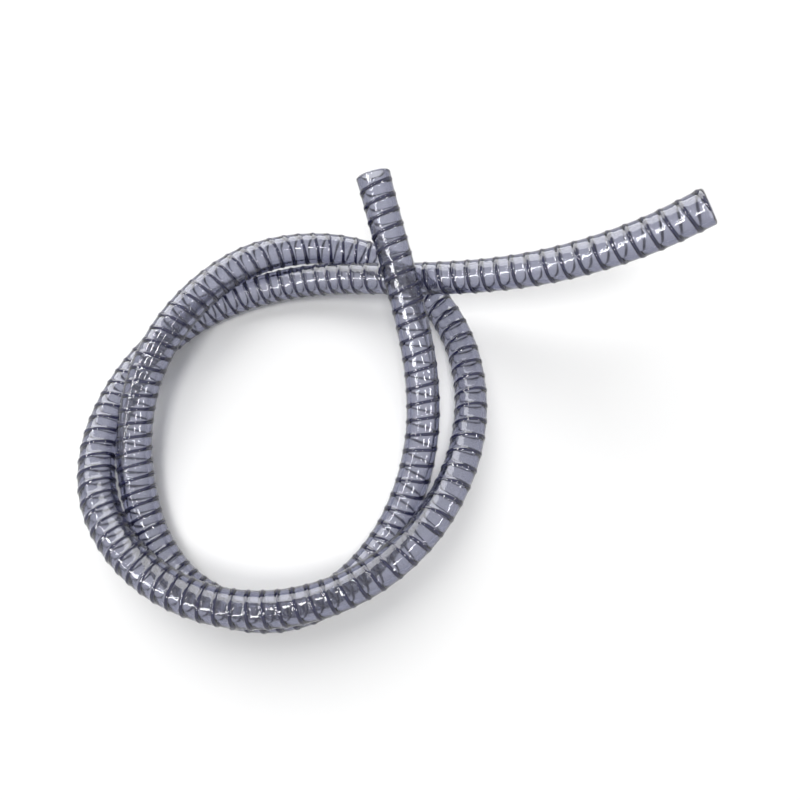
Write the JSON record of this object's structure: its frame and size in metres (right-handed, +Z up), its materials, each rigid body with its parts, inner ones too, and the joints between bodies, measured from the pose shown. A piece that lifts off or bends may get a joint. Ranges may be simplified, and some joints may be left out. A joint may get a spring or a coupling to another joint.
{
  "type": "wire-reinforced hose",
  "caption": "Length of clear flexible hose with a steel wire helix in its wall, cut square at both ends and lying in loose turns; carries liquid by suction or pressure.",
  "frame": {"origin": "under the middle of the hose's box, on the plane it lies on", "axes": "+X towards the raised right-hand end, +Y towards the upper end, +Z up"},
  "size_m": [0.3262, 0.238, 0.1105],
  "materials": {
    "clear_vinyl_cover": "clear flexible vinyl with a faint blue-grey tint, glossy, slightly raised over the wire",
    "steel_wire": "dark drawn spring steel wire seen through the wall",
    "clear_vinyl_liner": "clear flexible vinyl, smooth bore"
  },
  "bodies": {
    "root": {"outer_cover": "clear_vinyl_cover", "wire_helix": "steel_wire", "inner_liner": "clear_vinyl_liner"}
  },
  "joints": []
}
